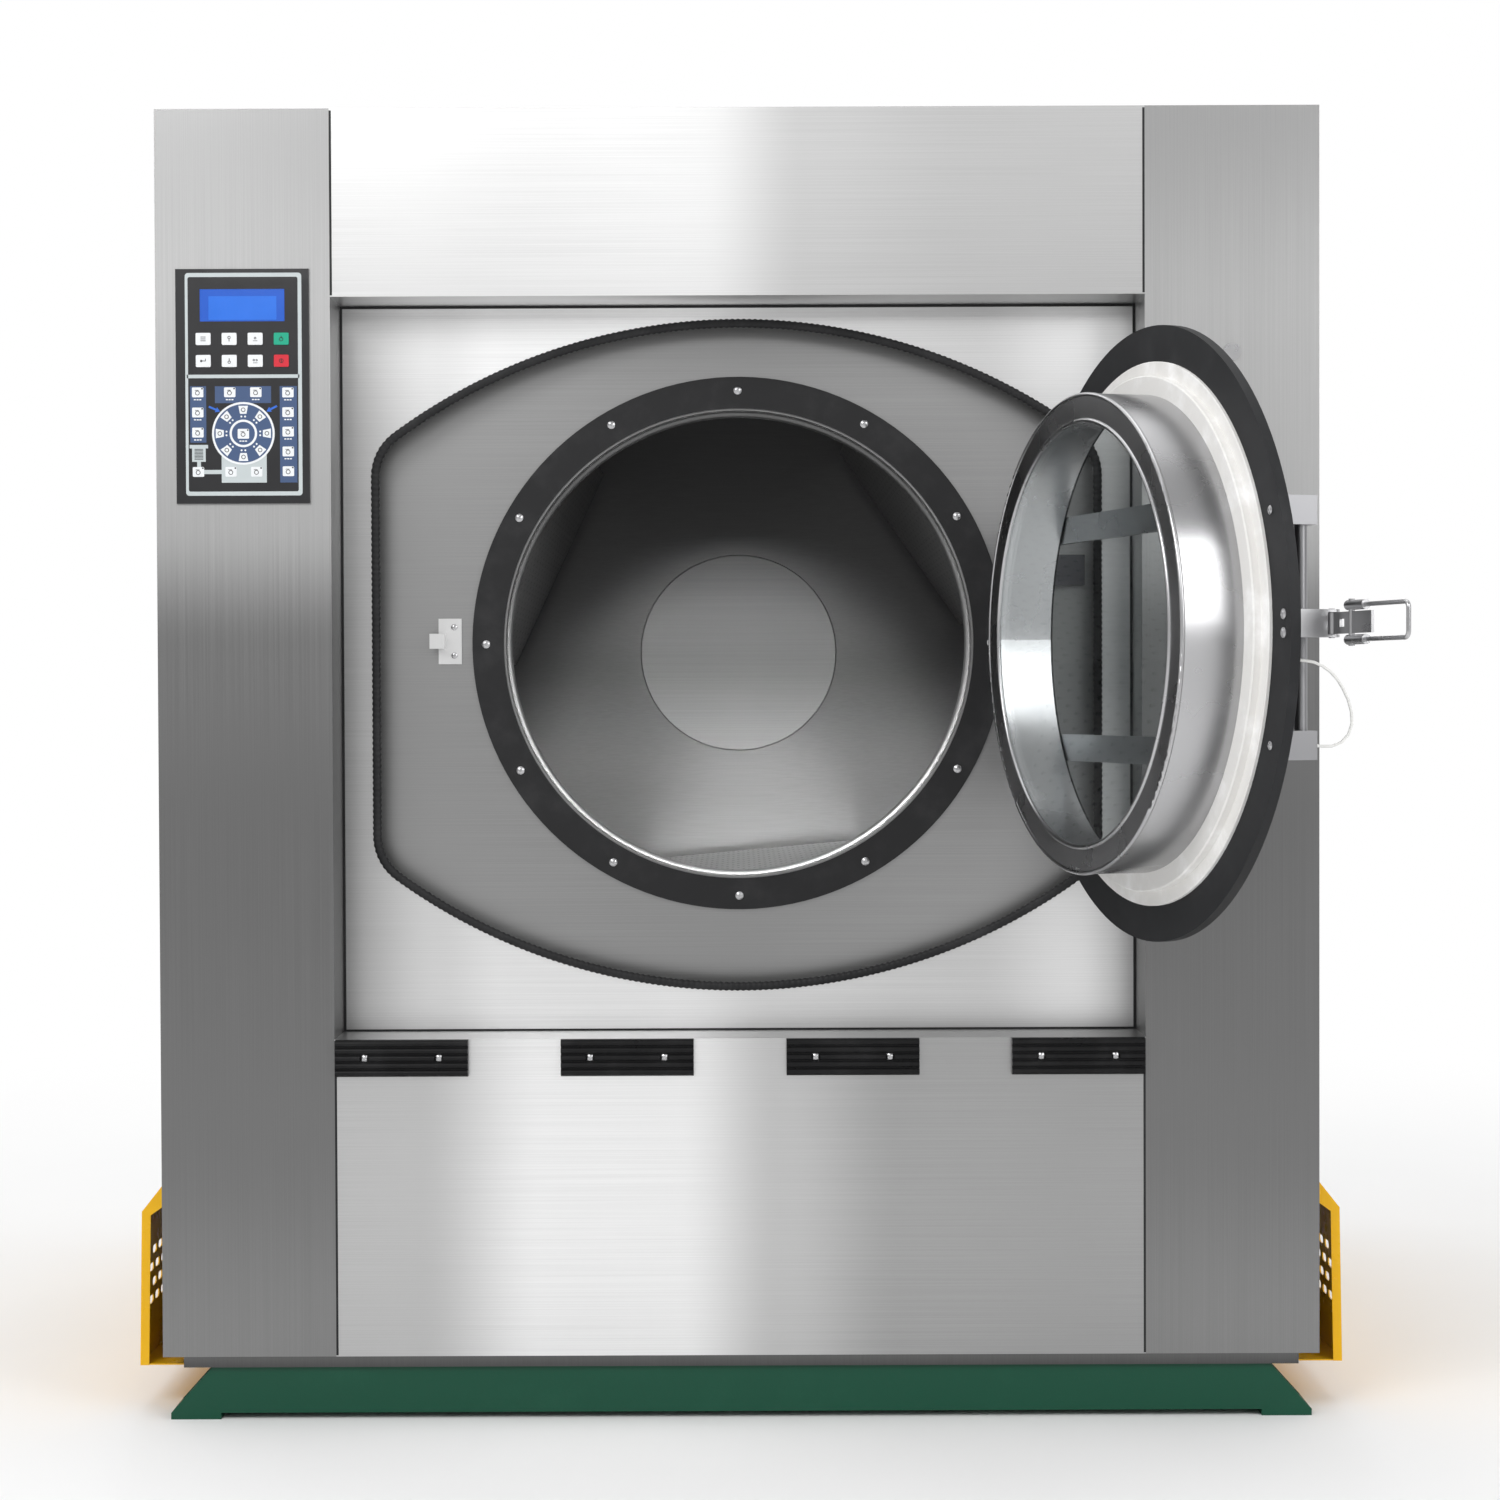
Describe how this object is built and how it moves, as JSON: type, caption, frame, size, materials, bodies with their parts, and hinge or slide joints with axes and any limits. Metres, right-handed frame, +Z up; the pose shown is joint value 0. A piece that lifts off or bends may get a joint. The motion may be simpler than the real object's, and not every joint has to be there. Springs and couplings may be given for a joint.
{
  "type": "industrial laundry machine",
  "caption": "Industrial front-loading tumble laundry machine with a sprung tub, belt-driven drum, swing-out porthole door with toggle latch, and keypad",
  "frame": {"origin": "on the floor, at the centre of the four anchor bolts", "axes": "+Z up, front towards -Y, +X to the right as seen from the front"},
  "size_m": [1.904, 2.5155, 2.035],
  "materials": {
    "green_paint": "semi-gloss enamel",
    "frame_steel": "matt",
    "brushed_panel": "brushed, satin",
    "black_rubber": "satin",
    "bright_steel": "polished",
    "yellow_paint": "gloss enamel",
    "keypad_black": "satin film",
    "display_blue": "glossy window",
    "key_white": "satin",
    "key_green": "satin",
    "key_red": "satin",
    "spring_steel": "oiled",
    "tub_steel": "satin",
    "dark_plastic": "matt",
    "machined_steel": "turned",
    "motor_paint": "semi-gloss",
    "cast_iron": "as cast",
    "drum_steel": "satin",
    "flange_black": "satin",
    "polished_steel": "polished",
    "door_glass": "clear",
    "white_seal": "matt",
    "white_tube": "satin"
  },
  "bodies": {
    "cabinet": {"base_frame": "green_paint", "cabinet_frame": "frame_steel", "left_column": "brushed_panel", "right_column": "brushed_panel", "header_panel": "brushed_panel", "front_panel": "brushed_panel", "cutout_trim": "black_rubber", "lower_panel": "brushed_panel", "left_side_panel": "brushed_panel", "right_side_panel": "brushed_panel", "roof_panel": "brushed_panel", "rear_panel": "brushed_panel", "bumper_strips": "black_rubber", "cabinet_fixings": "bright_steel", "left_guard": "yellow_paint", "right_guard": "yellow_paint", "keypad_bezel": "keypad_black", "display_window": "display_blue", "springs": "spring_steel", "damper_bodies": "frame_steel"},
    "tub": {"tub_shell": "tub_steel", "tub_front": "tub_steel", "gasket_ring": "black_rubber", "tub_screws": "bright_steel", "door_keeper": "bright_steel", "hinge_brackets": "bright_steel", "door_switch": "dark_plastic", "cradle": "green_paint", "bearing_housing": "green_paint", "bearings": "machined_steel", "motor_body": "motor_paint", "drive_belts": "black_rubber", "drain_valve": "cast_iron", "damper_rods": "bright_steel"},
    "drum": {"drum_wall": "drum_steel", "drum_front": "drum_steel", "drum_back": "drum_steel", "lifters": "drum_steel", "drum_shaft": "machined_steel", "drum_pulley": "cast_iron"},
    "motor_rotor": {"motor_pulley": "cast_iron"},
    "door": {"door_flange": "flange_black", "door_ring": "polished_steel", "door_glass": "door_glass", "door_seal": "white_seal", "hinge_arms": "bright_steel", "door_handle": "bright_steel", "latch_base": "bright_steel", "latch_tube": "white_tube", "door_screws": "bright_steel"},
    "latch_lever": {"latch_lever": "bright_steel"},
    "latch_bail": {"latch_bail": "bright_steel"},
    "key_menu": {"key_menu": "key_white"},
    "key_up": {"key_up": "key_white"},
    "key_f1": {"key_f1": "key_white"},
    "key_start": {"key_start": "key_green"},
    "key_enter": {"key_enter": "key_white"},
    "key_down": {"key_down": "key_white"},
    "key_f2": {"key_f2": "key_white"},
    "key_stop": {"key_stop": "key_red"}
  },
  "joints": [
    {"name": "suspension", "type": "slide", "parent": "cabinet", "child": "tub", "axis": [0, 0, 1], "range_m": [-0.015, 0.015], "stiffness_N_per_m": 400000, "springref_m": 0.029, "deforming": ["springs"]},
    {"name": "drum_spin", "type": "hinge", "parent": "tub", "child": "drum", "pos_m": [0, 0, 1.21], "axis": [0, 1, 0], "continuous": true},
    {"name": "motor_spin", "type": "hinge", "parent": "tub", "child": "motor_rotor", "pos_m": [0, 0.5, 0.222], "axis": [0, 1, 0], "continuous": true},
    {"name": "door_hinge", "type": "hinge", "parent": "tub", "child": "door", "pos_m": [0.475, -0.682, 1.21], "axis": [0, 0, 1], "range_deg": [-106.5, 14]},
    {"name": "latch_lever_turn", "type": "hinge", "parent": "door", "child": "latch_lever", "pos_m": [0.76506, -1.52743, 1.215], "axis": [0, 0, 1], "range_deg": [0, 172]},
    {"name": "latch_bail_turn", "type": "hinge", "parent": "latch_lever", "child": "latch_bail", "pos_m": [0.77983, -1.57729, 1.215], "axis": [0, 0, 1], "range_deg": [-205, 1]},
    {"name": "key_menu_press", "type": "slide", "parent": "cabinet", "child": "key_menu", "axis": [0, 1, 0], "range_m": [0, 0.0006], "stiffness_N_per_m": 1500, "springref_m": -0.0004},
    {"name": "key_up_press", "type": "slide", "parent": "cabinet", "child": "key_up", "axis": [0, 1, 0], "range_m": [0, 0.0006], "stiffness_N_per_m": 1500, "springref_m": -0.0004},
    {"name": "key_f1_press", "type": "slide", "parent": "cabinet", "child": "key_f1", "axis": [0, 1, 0], "range_m": [0, 0.0006], "stiffness_N_per_m": 1500, "springref_m": -0.0004},
    {"name": "key_start_press", "type": "slide", "parent": "cabinet", "child": "key_start", "axis": [0, 1, 0], "range_m": [0, 0.0006], "stiffness_N_per_m": 1500, "springref_m": -0.0004},
    {"name": "key_enter_press", "type": "slide", "parent": "cabinet", "child": "key_enter", "axis": [0, 1, 0], "range_m": [0, 0.0006], "stiffness_N_per_m": 1500, "springref_m": -0.0004},
    {"name": "key_down_press", "type": "slide", "parent": "cabinet", "child": "key_down", "axis": [0, 1, 0], "range_m": [0, 0.0006], "stiffness_N_per_m": 1500, "springref_m": -0.0004},
    {"name": "key_f2_press", "type": "slide", "parent": "cabinet", "child": "key_f2", "axis": [0, 1, 0], "range_m": [0, 0.0006], "stiffness_N_per_m": 1500, "springref_m": -0.0004},
    {"name": "key_stop_press", "type": "slide", "parent": "cabinet", "child": "key_stop", "axis": [0, 1, 0], "range_m": [0, 0.0006], "stiffness_N_per_m": 1500, "springref_m": -0.0004}
  ],
  "couplings": [
    {"joint": "motor_spin", "follows": "drum_spin", "ratio": 5},
    {"joint": "latch_bail_turn", "follows": "latch_lever_turn", "ratio": -1.187}
  ]
}
